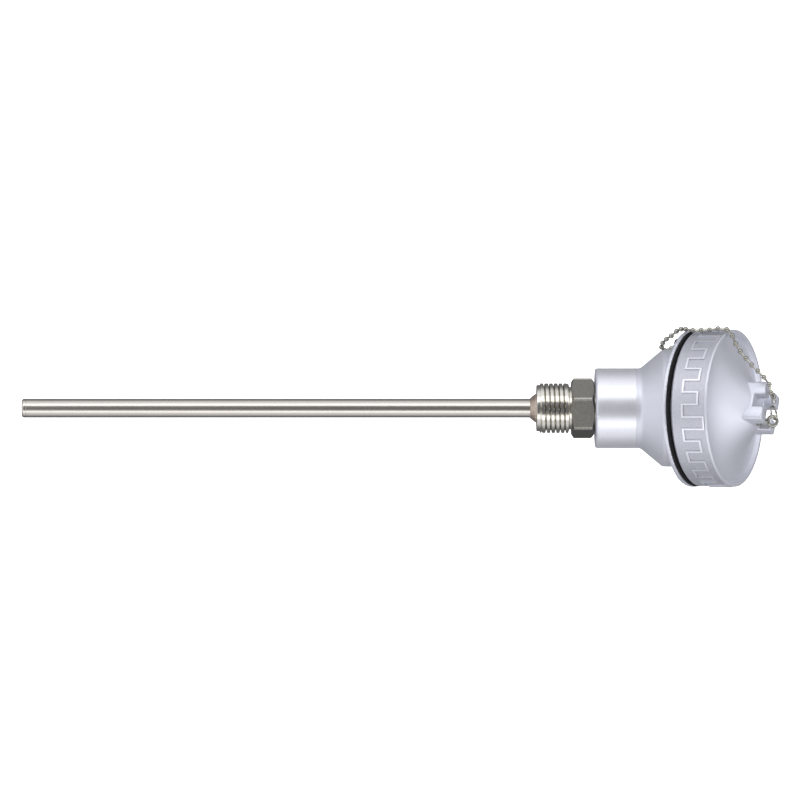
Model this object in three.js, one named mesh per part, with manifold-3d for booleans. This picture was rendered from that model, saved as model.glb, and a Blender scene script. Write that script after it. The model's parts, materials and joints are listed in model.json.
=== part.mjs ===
// Resistance thermometer probe with a small screw-cap connection head and a ball chain on the cap.
// Millimetres, +Z up. The origin is the seat of the hexagon, where the process thread screws in.
// +X runs along the probe from its tip to the head. The cap's axis leans from +X towards +Z.
import * as THREE from 'three';
import { mergeVertices } from 'three/addons/utils/BufferGeometryUtils.js';
import Module from 'manifold-3d';

const wasm = await Module();
wasm.setup();

// Driving dimensions
const TIP_X = -174.3;
const TUBE_RADIUS = 3;
const TUBE_BORE = 2.4;
const TUBE_TOP_X = 20;
const TIP_CAP = 1.4;
const THREAD_LENGTH = 11;
const THREAD_RADIUS = 7.9;
const WELD_LENGTH = 2;
const WELD_RADIUS = 4.6;
const HEX_FLATS = 17;
const HEX_LENGTH = 7.3;
const HEX_TURN = -17;
const SPIGOT_RADIUS = 6.6;
const SPIGOT_END_X = 17.5;

const NECK_START_X = 7.6;
const NECK_END_X = 21.9;
const NECK_RADIUS = 12.7;
const CONE_END_X = 28.1;
const BOWL_RADIUS = 18.6;
const CHAMBER_FLOOR_X = 28;
const CHAMBER_RADIUS = 16;

const CAP_TILT = 25;
const CAP_CENTRE_X = 39.5;
const FLANGE_RADIUS = 25;
const FLANGE_THICKNESS = 1.5;
const COLLAR_RADIUS = 22.1;
const COLLAR_BORE = 20.2;
const COLLAR_HEIGHT = 7.2;
const GASKET = [0.2, 1.1];
const LID_BACK = 1.3;
const LID_FRONT = 13.6;
const LID_RADIUS = 25;
const LID_BORE = 22.6;
const DISH_HEIGHT = 12.5;
const DOME_TOP = 21.2;
const DOME_RADII = [22.6, 6.4];
const DOME_POWER = 1.8;
const LID_WALL = 2;
const BOSS_HALF = 6.5;
const BOSS_TURN = 65;
const BOSS_TOP = 25.5;
const BOSS_SLOT = 4.4;
const BOSS_SLOT_FLOOR = 21.8;

const ENTRY_X = 37.5;
const ENTRY_RADIUS = 9.6;
const ENTRY_END_Z = -33;
const ENTRY_BORE = 8;
const ENTRY_STEP_Z = -22.5;
const CABLE_BORE = 5.6;
const GLAND_FLATS = 20;
const GLAND_HEX = 6;
const GLAND_HOLE = 4.5;
const BUSH_HOLE = 3.5;

const BLOCK_RADIUS = 15;
const BLOCK_X = [28.3, 33.3];
const TERMINAL_Y = [-6.6, 0, 6.6];
const TERMINAL_SCREW_Z = [-8, -1.2];
const LEAD_HOLE = [4, 4];
const LEAD_RADIUS = 0.25;
const BLOCK_SCREW_Y = 12;

const INSULATOR_RADIUS = 2.1;
const INSULATOR_ENDS = [-156.6, 16];
const INSULATOR_COUNT = 4;
const LEAD_CIRCLE = 1.05;

const PAD_X = 34.8;
const PAD_RADIUS = 2.7;
const PAD_END_Y = 20.4;
const PAD_HOLE = 1.15;
const EYELET_RADIUS = 2.2;
const EYELET_THICKNESS = 0.5;

// Places on the cap are [towards -Y, height, towards the top]
const EYE_FOOT = [4.1, 0, 1.9];
const EYE_CENTRE = [4.1, 26.9, 1.9];
const EYE_RADIUS = 1.75;
const EYE_WIRE = 0.45;
const EYE_SHANK = 0.75;
const RING_CENTRE = [1.4, 27.6, 2.1];
const RING_RADIUS = 2.05;
const RING_WIRE = 0.32;
const RING_TURN = -0.25;
const CLASP_START = [-1.6, 27.7, 2.4];
const CLASP_END = [-4.6, 26.8, 2.9];
const CLASP_RADII = [0.85, 0.55];
const CHAIN_DIAMETER = 1.5;
const CHAIN_ON_CAP = [
  [-4.9, 26.9, 3.2], [-7, 26.8, 3.9], [-9.1, 25.8, 4.9], [-11.1, 23.8, 5], [-15, 19.9, 5.4],
  [-19.3, 16.5, 5.8], [-21.9, 15.4, 6.3], [-24.4, 14.5, 7.2], [-25.1, 12, 8.1],
  [-24.7, 8, 8.4], [-24.6, 5.2, 8.4], [-24.6, 2.5, 8.4], [-25, -0.4, 7.7],
];
const CHAIN_BELOW_FLANGE = [
  [34, 24.8, 3], [32, 23.1, 0.5], [29.9, 21.5, -2.8], [29, 19.9, -5.8], [29.7, 18.6, -8.6],
  [31.4, 18.7, -10.2], [33.4, 19.6, -9.6], [34.5, 20.6, -7.8], [34.6, 21.1, -5.9],
];

const ROUND = 48;
const SMALL_ROUND = 20;

const thermometer = new THREE.Group();
const capTurn = THREE.MathUtils.degToRad(CAP_TILT);
const downProbe = new THREE.Matrix4().makeRotationZ(-Math.PI / 2);
const downCap = new THREE.Matrix4()
  .makeTranslation(CAP_CENTRE_X, 0, 0)
  .multiply(new THREE.Matrix4().makeRotationY(-capTurn))
  .multiply(downProbe);

// Finishes
const finish = (color, metalness, roughness) =>
  new THREE.MeshStandardMaterial({ color, metalness, roughness });
const castAluminium = () => finish(0xc9ccd4, 0.7, 0.45);
const stainless = () => finish(0xb3afa6, 0.95, 0.3);
const nickel = () => finish(0xbdb9a8, 0.95, 0.25);
const brass = () => finish(0xc9a94f, 0.95, 0.3);
const ceramic = () => finish(0xefece4, 0, 0.4);
const rubber = () => finish(0x202122, 0, 0.8);

// Booleans
function solid(geometry) {
  const bare = geometry.index ? geometry.toNonIndexed() : geometry.clone();
  bare.deleteAttribute('normal');
  bare.deleteAttribute('uv');
  const merged = mergeVertices(bare, 1e-4);
  return new wasm.Manifold(new wasm.Mesh({
    numProp: 3,
    vertProperties: new Float32Array(merged.attributes.position.array),
    triVerts: new Uint32Array(merged.index.array),
  }));
}

function toGeometry(body) {
  const mesh = body.getMesh();
  const geometry = new THREE.BufferGeometry();
  geometry.setAttribute('position', new THREE.BufferAttribute(mesh.vertProperties, 3));
  geometry.setIndex(new THREE.BufferAttribute(mesh.triVerts, 1));
  const flat = geometry.toNonIndexed();
  flat.computeVertexNormals();
  return flat;
}

function add(name, geometry, material) {
  const mesh = new THREE.Mesh(geometry, material);
  mesh.name = name;
  thermometer.add(mesh);
  return mesh;
}

// Shapes: a profile is a list of [radius, height], revolved about the local Y axis
function revolve(profile, segments = ROUND) {
  const points = profile.map(([radius, height]) => new THREE.Vector2(radius, height));
  return new THREE.LatheGeometry(points, segments);
}

function ring(inner, outer, low, high, segments = ROUND) {
  return revolve([[inner, low], [outer, low], [outer, high], [inner, high], [inner, low]], segments);
}

function rod(radius, low, high, segments = SMALL_ROUND) {
  return revolve([[0, low], [radius, low], [radius, high], [0, high]], segments);
}

function block(width, height, depth, x, y, z) {
  return new THREE.BoxGeometry(width, height, depth).translate(x, y, z);
}

function hexagon(flats, low, high, turn) {
  const radius = flats / 2 / Math.cos(Math.PI / 6);
  const start = THREE.MathUtils.degToRad(turn);
  const bar = new THREE.CylinderGeometry(radius, radius, high - low, 6, 1, false, start);
  return bar.translate(0, (high + low) / 2, 0);
}

// A hexagon whose corners are turned down at both ends
function chamferedHexagon(flats, low, high, turn) {
  const corner = flats / 2 / Math.cos(Math.PI / 6) - 0.2;
  const face = flats / 2 - 0.2;
  const slope = 0.9;
  const turned = revolve([
    [0, low], [face, low], [corner, low + slope],
    [corner, high - slope], [face, high], [0, high],
  ]);
  return solid(hexagon(flats, low, high, turn)).intersect(solid(turned));
}

const alongProbe = (geometry) => geometry.applyMatrix4(downProbe);
const onCap = (geometry) => geometry.applyMatrix4(downCap);
const downward = new THREE.Matrix4().makeTranslation(ENTRY_X, 0, 0)
  .multiply(new THREE.Matrix4().makeRotationX(-Math.PI / 2));
// Heights along the cable entry are distances below the probe's axis
const onEntry = (geometry) => geometry.applyMatrix4(downward);

// Probe
function buildProbe() {
  const tube = ring(TUBE_BORE, TUBE_RADIUS, TIP_X + TIP_CAP, TUBE_TOP_X, 24);
  add('protection_tube', alongProbe(tube), stainless());
  const cap = revolve([
    [0, TIP_X], [TUBE_RADIUS - 0.6, TIP_X], [TUBE_RADIUS - 0.18, TIP_X + 0.18],
    [TUBE_RADIUS, TIP_X + 0.6], [TUBE_RADIUS, TIP_X + TIP_CAP],
    [TUBE_BORE - 0.05, TIP_X + TIP_CAP], [TUBE_BORE - 0.05, TIP_X + TIP_CAP + 1],
    [0, TIP_X + TIP_CAP + 1],
  ], 24);
  add('tip_cap', alongProbe(cap), stainless());
  const start = -THREAD_LENGTH;
  const weld = revolve([
    [TUBE_RADIUS + 0.05, start - WELD_LENGTH], [TUBE_RADIUS + 0.35, start - WELD_LENGTH],
    [WELD_RADIUS, start], [TUBE_RADIUS + 0.05, start], [TUBE_RADIUS + 0.05, start - WELD_LENGTH],
  ], 24);
  add('weld_bead', alongProbe(weld), stainless());
}

function buildFitting() {
  const bore = TUBE_RADIUS + 0.1;
  const start = -THREAD_LENGTH;
  const turned = revolve([
    [bore, start], [THREAD_RADIUS - 0.6, start], [THREAD_RADIUS, start + 0.6],
    [THREAD_RADIUS, -1.2], [THREAD_RADIUS - 1, -0.9], [THREAD_RADIUS - 1, 0.5],
    [SPIGOT_RADIUS, 0.5], [SPIGOT_RADIUS, SPIGOT_END_X - 0.6],
    [SPIGOT_RADIUS - 0.6, SPIGOT_END_X], [bore, SPIGOT_END_X], [bore, start],
  ], 32);
  const hex = chamferedHexagon(HEX_FLATS, 0, HEX_LENGTH, HEX_TURN);
  const hole = solid(rod(bore, start - 1, SPIGOT_END_X + 1, 32));
  const fitting = hex.subtract(hole).add(solid(turned));
  add('process_fitting', alongProbe(toGeometry(fitting)), stainless());
}

// Connection head
function bodyOutside() {
  return revolve([
    [0, NECK_START_X], [NECK_RADIUS - 0.6, NECK_START_X], [NECK_RADIUS, NECK_START_X + 0.6],
    [NECK_RADIUS, NECK_END_X], [CHAMBER_RADIUS + 2, CONE_END_X],
    [BOWL_RADIUS - 0.1, CONE_END_X + 2], [BOWL_RADIUS, CONE_END_X + 4],
    [BOWL_RADIUS, 70], [0, 70],
  ]);
}

function buildHeadBody() {
  const behindCap = solid(onCap(rod(60, -80, -0.02, 16)));
  const shell = solid(alongProbe(bodyOutside())).intersect(behindCap);
  const flange = solid(onCap(revolve([
    [0, -FLANGE_THICKNESS - 2.4], [BOWL_RADIUS - 0.4, -FLANGE_THICKNESS - 2.4],
    [BOWL_RADIUS + 1.2, -FLANGE_THICKNESS - 0.6], [FLANGE_RADIUS - 2.5, -FLANGE_THICKNESS],
    [FLANGE_RADIUS, -FLANGE_THICKNESS], [FLANGE_RADIUS, 0], [0, 0],
  ])));
  const collar = solid(onCap(rod(COLLAR_RADIUS, -1, COLLAR_HEIGHT, ROUND)));
  const entry = solid(onEntry(revolve([
    [0, 15], [ENTRY_RADIUS, 15], [ENTRY_RADIUS, -ENTRY_END_Z - 0.5],
    [ENTRY_RADIUS - 0.5, -ENTRY_END_Z], [0, -ENTRY_END_Z],
  ], 32)));
  const pad = solid(rod(PAD_RADIUS, 17, PAD_END_Y, 16).translate(PAD_X, 0, 0));
  const chamber = solid(alongProbe(rod(CHAMBER_RADIUS, CHAMBER_FLOOR_X, 70, ROUND)));
  const behindFlange = solid(onCap(rod(60, -80, 0.5, 16)));
  const mouth = solid(onCap(rod(COLLAR_BORE, -0.6, COLLAR_HEIGHT + 1, ROUND)));
  const neckBore = solid(alongProbe(revolve([
    [0, NECK_START_X - 1], [SPIGOT_RADIUS + 0.15, NECK_START_X - 1],
    [SPIGOT_RADIUS + 0.15, SPIGOT_END_X + 0.5], [6.2, SPIGOT_END_X + 0.5],
    [6.2, CHAMBER_FLOOR_X + 1], [0, CHAMBER_FLOOR_X + 1],
  ], 32)));
  const entryBore = solid(onEntry(revolve([
    [0, 10], [CABLE_BORE, 10], [CABLE_BORE, -ENTRY_STEP_Z], [ENTRY_BORE, -ENTRY_STEP_Z],
    [ENTRY_BORE, -ENTRY_END_Z + 1], [0, -ENTRY_END_Z + 1],
  ], 32)));
  const padHole = solid(rod(PAD_HOLE, 16.8, PAD_END_Y + 1, 12).translate(PAD_X, 0, 0));
  const blockHoles = [-1, 1].map((side) => solid(
    alongProbe(rod(1.35, CHAMBER_FLOOR_X - 2.5, CHAMBER_FLOOR_X + 1, 12))
      .translate(0, side * BLOCK_SCREW_Y, 0)));
  let body = shell.add(flange).add(collar).add(entry).add(pad)
    .subtract(chamber.intersect(behindFlange)).subtract(mouth)
    .subtract(neckBore).subtract(entryBore).subtract(padHole);
  blockHoles.forEach((hole) => { body = body.subtract(hole); });
  add('head_body', toGeometry(body), castAluminium());
}

function buildGasket() {
  const gasket = ring(COLLAR_RADIUS + 0.5, FLANGE_RADIUS - 0.2, GASKET[0], GASKET[1]);
  add('flange_gasket', onCap(gasket), rubber());
}

// Height of the lid's outer face at a radius: a flat dish that rises like a bell to the boss
function domeHeight(radius) {
  const rise = (DOME_RADII[0] - radius) / (DOME_RADII[0] - DOME_RADII[1]);
  return DISH_HEIGHT + (DOME_TOP - DISH_HEIGHT) * Math.min(1, Math.max(0, rise)) ** DOME_POWER;
}

function lidOutside() {
  const profile = [
    [0, LID_BACK], [LID_RADIUS - 0.5, LID_BACK], [LID_RADIUS, LID_BACK + 0.5],
    [LID_RADIUS, LID_FRONT - 0.4], [LID_RADIUS - 0.4, LID_FRONT], [LID_RADIUS - 1.7, LID_FRONT],
  ];
  for (let step = 0; step <= 8; step += 1) {
    const radius = THREE.MathUtils.lerp(DOME_RADII[0], DOME_RADII[1], step / 8);
    profile.push([radius, domeHeight(radius)]);
  }
  profile.push([0, DOME_TOP]);
  return revolve(profile);
}

function lidInside() {
  const profile = [[0, LID_BACK - 1], [LID_BORE, LID_BACK - 1], [LID_BORE, DISH_HEIGHT - LID_WALL]];
  for (let step = 1; step <= 6; step += 1) {
    const radius = THREE.MathUtils.lerp(LID_BORE, 5, step / 6);
    profile.push([radius, domeHeight(radius + 1.2) - LID_WALL]);
  }
  profile.push([0, domeHeight(6.2) - LID_WALL]);
  return revolve(profile);
}

function buildLid() {
  const turn = THREE.MathUtils.degToRad(BOSS_TURN);
  const side = 2 * BOSS_HALF;
  const middle = (BOSS_TOP + DOME_TOP - 2) / 2;
  const bossBlock = solid(block(side, BOSS_TOP - DOME_TOP + 2, side, 0, middle, 0));
  const boss = bossBlock.intersect(solid(rod(BOSS_HALF * 1.36, 10, BOSS_TOP + 1, ROUND)));
  const deep = BOSS_TOP + 1 - BOSS_SLOT_FLOOR;
  const level = BOSS_SLOT_FLOOR + deep / 2;
  const slots = solid(block(BOSS_SLOT, deep, side + 4, 0, level, 0))
    .add(solid(block(side + 4, deep, BOSS_SLOT, 0, level, 0)));
  const castle = solid(toGeometry(boss.subtract(slots)).rotateY(turn));
  const eyeHole = solid(rod(0.95, DOME_TOP - 0.6, BOSS_SLOT_FLOOR + 1, 12).translate(...EYE_FOOT));
  const lid = solid(lidOutside()).subtract(solid(lidInside())).add(castle).subtract(eyeHole);
  add('lid', onCap(toGeometry(lid)), castAluminium());
}

// Chain and its fastenings
function capPoint([x, y, z]) {
  return new THREE.Vector3(x, y, z).applyMatrix4(downCap);
}

function wire(points, radius, sides, steps) {
  const circle = new THREE.Shape();
  circle.absarc(0, 0, radius, 0, 2 * Math.PI);
  return new THREE.ExtrudeGeometry(circle, {
    extrudePath: new THREE.CatmullRomCurve3(points, false, 'centripetal'),
    steps,
    curveSegments: sides / 2,
    bevelEnabled: false,
  });
}

function buildLidFastenings() {
  const torus = new THREE.TorusGeometry(EYE_RADIUS, EYE_WIRE, 8, 16).translate(...EYE_CENTRE);
  const shank = rod(EYE_SHANK, DOME_TOP - 0.3, EYE_CENTRE[1] - EYE_RADIUS, 12)
    .translate(EYE_FOOT[0], 0, EYE_FOOT[2]);
  const eye = solid(torus).add(solid(shank));
  add('lid_eye_screw', onCap(toGeometry(eye)), nickel());
  const link = new THREE.TorusGeometry(RING_RADIUS, RING_WIRE, 8, 20).rotateX(0.5 * Math.PI)
    .rotateZ(RING_TURN).translate(...RING_CENTRE);
  add('split_ring', onCap(link), nickel());
  const from = new THREE.Vector3(...CLASP_START);
  const to = new THREE.Vector3(...CLASP_END);
  const clasp = new THREE.CylinderGeometry(...CLASP_RADII, from.distanceTo(to), 12);
  const lean = new THREE.Quaternion().setFromUnitVectors(
    new THREE.Vector3(0, 1, 0), to.clone().sub(from).normalize());
  clasp.applyQuaternion(lean).translate(...from.lerp(to, 0.5).toArray());
  add('lid_chain_clasp', onCap(clasp), nickel());
}

function buildChain() {
  const points = CHAIN_ON_CAP.map(capPoint)
    .concat(CHAIN_BELOW_FLANGE.map((place) => new THREE.Vector3(...place)));
  add('ball_chain', wire(points, CHAIN_DIAMETER / 2, 8, 48), nickel());
}

function buildBodyFastenings() {
  const seat = PAD_END_Y + 0.05;
  const middle = seat + EYELET_THICKNESS / 2;
  const eyelet = solid(ring(PAD_HOLE, EYELET_RADIUS, seat, seat + EYELET_THICKNESS, 16))
    .add(solid(block(1.6, EYELET_THICKNESS, 3.4, 0, middle, -3.2)));
  add('chain_eyelet', toGeometry(eyelet).translate(PAD_X, 0, 0), nickel());
  const screw = revolve([
    [0, 17.2], [1, 17.2], [1, PAD_END_Y + 0.6], [2, PAD_END_Y + 0.6],
    [2, PAD_END_Y + 1.1], [1.3, PAD_END_Y + 1.7], [0, PAD_END_Y + 1.8],
  ], 16);
  add('chain_screw', screw.translate(PAD_X, 0, 0), nickel());
}

// Cable gland
function buildGland() {
  const seat = -ENTRY_STEP_Z;
  const bush = ring(BUSH_HOLE, ENTRY_BORE - 0.3, seat + 0.1, seat + 4.1, 24);
  add('cable_bush', onEntry(bush), rubber());
  const washer = ring(4.3, ENTRY_BORE - 0.3, seat + 4.3, seat + 5.1, 24);
  add('gland_washer', onEntry(washer), nickel());
  const face = -ENTRY_END_Z + 0.3;
  const shank = solid(ring(GLAND_HOLE, ENTRY_BORE - 0.3, seat + 5.3, face + 1, 24));
  const head = chamferedHexagon(GLAND_FLATS, face, face + GLAND_HEX, 0);
  const hole = solid(rod(GLAND_HOLE, seat + 4, face + GLAND_HEX + 1, 24));
  add('gland_nut', onEntry(toGeometry(head.add(shank).subtract(hole))), castAluminium());
}

// Terminals
function buildTerminalBlock() {
  const [low, high] = BLOCK_X;
  const disc = solid(alongProbe(rod(BLOCK_RADIUS, low, high, 32)));
  const holes = TERMINAL_Y.flatMap((y, index) => [
    rod(0.75, low - 1, high + 1, 8).applyMatrix4(downProbe)
      .translate(0, (index - 1) * LEAD_HOLE[0], LEAD_HOLE[1]),
    ...TERMINAL_SCREW_Z.map((z) => alongProbe(rod(1.3, high - 3.2, high + 1, 12)).translate(0, y, z)),
  ]);
  [-1, 1].forEach((side) => {
    holes.push(alongProbe(rod(1.5, low - 1, high + 1, 12)).translate(0, side * BLOCK_SCREW_Y, 0));
  });
  let body = disc;
  [-1, 1].forEach((side) => {
    const rib = solid(block(2.6, 1, 17, high + 1.2, side * TERMINAL_Y[2] / 2, -3.5));
    body = body.add(rib);
  });
  holes.forEach((hole) => { body = body.subtract(solid(hole)); });
  add('terminal_block', toGeometry(body), ceramic());
}

function buildTerminal(number, y) {
  const [, high] = BLOCK_X;
  const middle = (TERMINAL_SCREW_Z[0] + TERMINAL_SCREW_Z[1]) / 2;
  let plate = solid(block(1.2, 4.4, 11.6, high + 0.65, y, middle));
  TERMINAL_SCREW_Z.forEach((z, index) => {
    const label = `${number}_${index === 0 ? 'cable' : 'lead'}`;
    plate = plate.subtract(solid(alongProbe(rod(1.3, high - 1, high + 3, 12)).translate(0, y, z)));
    const washer = ring(1.3, 2.05, high + 1.9, high + 2.3, 12);
    add(`clamp_washer_${label}`, alongProbe(washer).translate(0, y, z), nickel());
    const screw = revolve([
      [0, high - 2.8], [1.1, high - 2.8], [1.1, high + 2.4], [1.95, high + 2.4],
      [1.95, high + 3.4], [1.4, high + 4], [0, high + 4],
    ], 12);
    const slot = solid(block(1, 0.6, 5, high + 3.8, y, z));
    const body = solid(alongProbe(screw).translate(0, y, z)).subtract(slot);
    add(`terminal_screw_${label}`, toGeometry(body), brass());
  });
  add(`terminal_plate_${number}`, toGeometry(plate), brass());
}

function buildBlockScrew(number, y) {
  const [, high] = BLOCK_X;
  const washer = ring(1.35, 2.3, high + 0.1, high + 0.6, 12);
  add(`block_washer_${number}`, alongProbe(washer).translate(0, y, 0), stainless());
  const screw = revolve([
    [0, CHAMBER_FLOOR_X - 2.2], [1.15, CHAMBER_FLOOR_X - 2.2], [1.15, high + 0.7],
    [2.1, high + 0.7], [2.1, high + 1.5], [1.4, high + 2.2], [0, high + 2.2],
  ], 12);
  const slot = solid(block(1, 0.6, 5, high + 2, y, 0));
  const body = solid(alongProbe(screw).translate(0, y, 0)).subtract(slot);
  add(`block_screw_${number}`, toGeometry(body), stainless());
}

// Inside the probe
function leadPlace(index, radius = LEAD_CIRCLE) {
  const turn = (index - 1) * 2 * Math.PI / 3;
  return [radius * Math.sin(turn), radius * Math.cos(turn)];
}

function threeBore(outer, hole, low, high) {
  const shape = new THREE.Shape();
  shape.absarc(0, 0, outer, 0, 2 * Math.PI);
  [0, 1, 2].forEach((index) => {
    const [y, z] = leadPlace(index);
    const bore = new THREE.Path();
    bore.absarc(-z, y, hole, 0, 2 * Math.PI, true);
    shape.holes.push(bore);
  });
  const bar = new THREE.ExtrudeGeometry(shape, { depth: high - low, curveSegments: 5, bevelEnabled: false });
  return bar.rotateY(Math.PI / 2).translate(low, 0, 0);
}

function buildSensor() {
  const element = revolve([
    [0, -171.5], [1.2, -171.5], [1.5, -171.1], [1.5, -157.4], [1.2, -157], [0, -157],
  ], 16);
  add('sensing_element', alongProbe(element), ceramic());
  const [low, high] = INSULATOR_ENDS;
  const length = (high - low) / INSULATOR_COUNT;
  for (let index = 0; index < INSULATOR_COUNT; index += 1) {
    const start = low + index * length;
    add(`lead_insulator_${index + 1}`, threeBore(INSULATOR_RADIUS, 0.45, start, start + length - 0.3), ceramic());
  }
  add('tube_seal', threeBore(TUBE_BORE - 0.1, 0.35, high + 0.2, TUBE_TOP_X - 0.2), rubber());
}

function buildLead(index) {
  const [, high] = BLOCK_X;
  const [y, z] = leadPlace(index);
  const holeY = (index - 1) * LEAD_HOLE[0];
  const screwY = TERMINAL_Y[index];
  const screwZ = TERMINAL_SCREW_Z[1];
  const places = [
    [-156.8, y, z], [-100, y, z], [-40, y, z], [TUBE_TOP_X, y, z], [21.5, y, z],
    [26.5, holeY, LEAD_HOLE[1]], [BLOCK_X[0], holeY, LEAD_HOLE[1]], [high + 0.6, holeY, LEAD_HOLE[1]],
    [high + 1.45, (holeY + screwY) / 2, 3.1], [high + 1.58, screwY + 0.2, screwZ + 2.6],
    [high + 1.58, screwY, screwZ + 1.45],
  ];
  const points = places.map((place) => new THREE.Vector3(...place));
  add(`lead_wire_${index + 1}`, wire(points, LEAD_RADIUS, 6, 72), nickel());
}

buildProbe();
buildFitting();
buildHeadBody();
buildGasket();
buildLid();
buildLidFastenings();
buildChain();
buildBodyFastenings();
buildGland();
buildTerminalBlock();
TERMINAL_Y.forEach((y, index) => buildTerminal(index + 1, y));
[-1, 1].forEach((side, index) => buildBlockScrew(index + 1, side * BLOCK_SCREW_Y));
buildSensor();
[0, 1, 2].forEach(buildLead);

export default thermometer;
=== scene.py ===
"""Thermometer probe with an aluminium connection head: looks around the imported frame."""

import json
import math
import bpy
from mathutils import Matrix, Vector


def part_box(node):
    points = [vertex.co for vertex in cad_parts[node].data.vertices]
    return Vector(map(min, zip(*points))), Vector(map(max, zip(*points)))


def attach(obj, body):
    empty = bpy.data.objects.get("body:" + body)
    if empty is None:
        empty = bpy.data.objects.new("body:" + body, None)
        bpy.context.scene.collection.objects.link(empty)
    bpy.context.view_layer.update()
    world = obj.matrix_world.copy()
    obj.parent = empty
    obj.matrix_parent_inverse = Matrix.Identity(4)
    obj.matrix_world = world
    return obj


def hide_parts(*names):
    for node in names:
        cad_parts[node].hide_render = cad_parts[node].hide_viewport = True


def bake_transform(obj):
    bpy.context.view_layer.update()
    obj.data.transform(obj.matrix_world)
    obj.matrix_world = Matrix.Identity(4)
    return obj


bl_info = {
    "name": "Thermometer Probe",
    "version": (1, 0, 0),
    "blender": (4, 5, 0),
    "location": "View3D > Sidebar > Thermometer",
    "description": "Models and finishes a thermometer probe with a screw-cap connection head",
    "category": "Object",
}

import bpy
from bpy.props import FloatProperty, FloatVectorProperty, IntProperty, PointerProperty
from mathutils import Matrix, Vector

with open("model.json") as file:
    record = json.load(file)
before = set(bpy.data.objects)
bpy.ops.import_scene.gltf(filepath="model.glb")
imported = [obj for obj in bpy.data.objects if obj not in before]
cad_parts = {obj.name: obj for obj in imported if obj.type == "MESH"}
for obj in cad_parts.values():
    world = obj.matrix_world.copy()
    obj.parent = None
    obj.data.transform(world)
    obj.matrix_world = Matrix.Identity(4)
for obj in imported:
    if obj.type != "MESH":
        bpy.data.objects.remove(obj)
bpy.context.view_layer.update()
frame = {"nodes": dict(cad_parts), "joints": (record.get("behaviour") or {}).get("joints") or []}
MM = 0.001
PI = math.pi
CAMERA_LENS = 247.5
CAMERA_PLACE = (-0.05429, 0.0026, 1.746)
JOINTS = {joint["name"]: joint for joint in frame["joints"]}


# Places: each turns a piece's own Z axis to the axis of its part of the object

def place(origin, forward, side):
    """A matrix that carries Z to forward and X to side, at origin."""
    forward = Vector(forward).normalized()
    side = Vector(side).normalized()
    turn = Matrix((side, forward.cross(side), forward)).transposed()
    return Matrix.Translation(origin) @ turn.to_4x4()


CAP_AXIS = Vector(JOINTS["cap_unscrew"]["axis"])
CAP_CENTRE = Vector(JOINTS["cap_unscrew"]["pos_m"])
ON_PROBE = place((0, 0, 0), (1, 0, 0), (0, 0, 1))
ON_CAP = place(CAP_CENTRE, CAP_AXIS, CAP_AXIS.cross(Vector((0, 1, 0))))
ENTRY_X = sum(corner[0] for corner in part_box("gland_nut")) / 2
ON_ENTRY = place((ENTRY_X, 0, 0), (0, 0, -1), (1, 0, 0))
PAD_X = sum(corner[0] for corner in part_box("chain_screw")) / 2
ON_PAD = place((PAD_X, 0, 0), (0, 1, 0), (0, 0, 1))


def size(name, millimetres, description):
    """A length property whose default is given in millimetres."""
    return FloatProperty(
        name=name, description=description, default=millimetres * MM, unit="LENGTH", precision=5
    )


def colour(name, value, description):
    """A colour property."""
    return FloatVectorProperty(
        name=name, description=description, default=value, size=3, subtype="COLOR", min=0, max=1
    )


class ProbeSizes(bpy.types.PropertyGroup):
    """Sizes of the tube and its screwed fitting."""

    tube_radius: size("Tube radius", 3, "Outside radius of the protection tube")
    tube_bore: size("Tube bore", 2.4, "Inside radius of the protection tube")
    tip_cap: size("Tip cap", 1.4, "Length of the welded tip cap's skirt")
    tip_round: size("Tip rounding", 0.9, "Edge radius at the tip")
    weld_radius: size("Weld radius", 4.6, "Radius of the weld bead at the fitting")
    thread_radius: size("Thread radius", 7.9, "Outside radius of the process thread")
    thread_pitch: size("Thread pitch", 1.5, "Distance between two turns of the process thread")
    thread_depth: size("Thread depth", 1.05, "Height of the thread from root to crest")
    thread_length: size("Thread length", 11, "From the hexagon's seat to the fitting's end")
    hex_flats: size("Hexagon", 17, "Across the flats of the fitting's hexagon")
    hex_length: size("Hexagon length", 7.3, "Length of the hexagon along the probe")
    spigot_radius: size("Spigot radius", 6.6, "Radius of the spigot inside the head's neck")
    spigot_end: size("Spigot end", 17.5, "Where the spigot ends inside the neck")


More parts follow.
